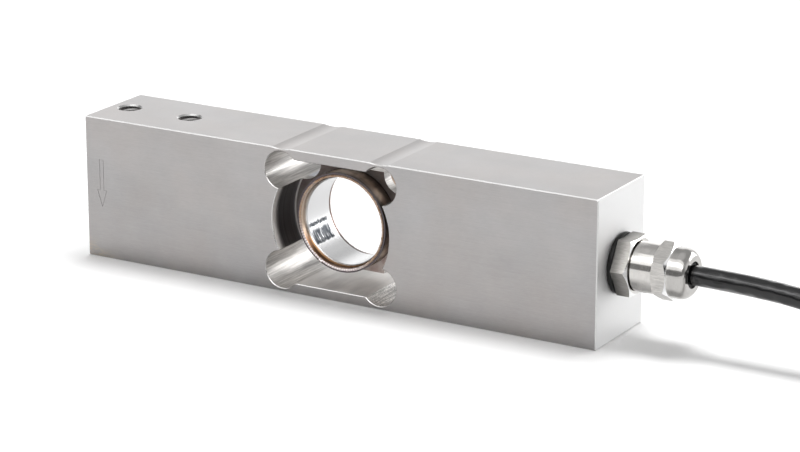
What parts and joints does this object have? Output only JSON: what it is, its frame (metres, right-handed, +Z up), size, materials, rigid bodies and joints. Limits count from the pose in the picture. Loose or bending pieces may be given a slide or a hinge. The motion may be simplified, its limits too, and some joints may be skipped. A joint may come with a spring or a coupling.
{
  "type": "single point load cell",
  "caption": "Stainless steel single point load cell: a beam with a clover window, a welded sealing sleeve, tapped mounting holes and a cable in a gland.",
  "frame": {"origin": "Middle of the beam's flat bottom face.", "axes": "+X along the beam to the cable end, +Y to the back, +Z up, the direction from which the load comes"},
  "size_m": [0.381, 0.0485, 0.038],
  "materials": {
    "stainless_body": "fine ground stainless steel, satin",
    "stainless_sleeve": "bright polished stainless tube",
    "weld": "laser weld with brown and blue heat tint",
    "gland_metal": "turned nickel plated brass, bright",
    "seal_rubber": "black sealing rubber, matt",
    "cage_plastic": "black moulded plastic",
    "cable_sheath": "black smooth cable sheath",
    "tie_plastic": "black moulded plastic",
    "gauge_foil": "amber carrier film with metal foil",
    "header_steel": "plain machined steel",
    "header_glass": "dark green sealing glass",
    "pin_gold": "gold plated pins",
    "wire_red": "enamelled fine wire",
    "board_green": "green circuit board",
    "resistor_black": "black resistor bodies",
    "resistor_nickel": "nickel foil resistor",
    "tin": "bright tin",
    "liner_plastic": "natural insulating film",
    "core_insulation": "thin coloured insulation",
    "lead_grey": "grey insulation",
    "lead_red": "red insulation",
    "lead_blue": "blue insulation",
    "lead_green": "green insulation",
    "lead_white": "white insulation",
    "lead_black": "black insulation"
  },
  "bodies": {
    "root": {"beam_body": "stainless_body", "sealing_sleeve": "stainless_sleeve", "front_weld_bead": "weld", "rear_weld_bead": "weld", "strain_gauge_1": "gauge_foil", "strain_gauge_2": "gauge_foil", "strain_gauge_3": "gauge_foil", "strain_gauge_4": "gauge_foil", "gauge_strip": "gauge_foil", "bridge_wires": "wire_red", "header_shell": "header_steel", "header_glass": "header_glass", "header_pins": "pin_gold", "cavity_liner": "liner_plastic", "compensation_board": "board_green", "trim_resistors": "resistor_black", "nickel_resistor": "resistor_nickel", "solder_pads": "tin", "board_cores": "core_insulation", "gland_seal": "seal_rubber", "gland_body": "gland_metal", "clamping_cage": "cage_plastic", "sealing_insert": "seal_rubber", "cap_nut": "gland_metal", "cable_inner_end": "cable_sheath", "cable": "cable_sheath", "cable_hank": "cable_sheath", "cable_tail": "cable_sheath", "cable_tie": "tie_plastic", "end_sleeve": "seal_rubber", "lead_tips": "tin", "lead_grey": "lead_grey", "lead_red": "lead_red", "lead_blue": "lead_blue", "lead_green": "lead_green", "lead_white": "lead_white", "lead_black": "lead_black"}
  },
  "joints": []
}
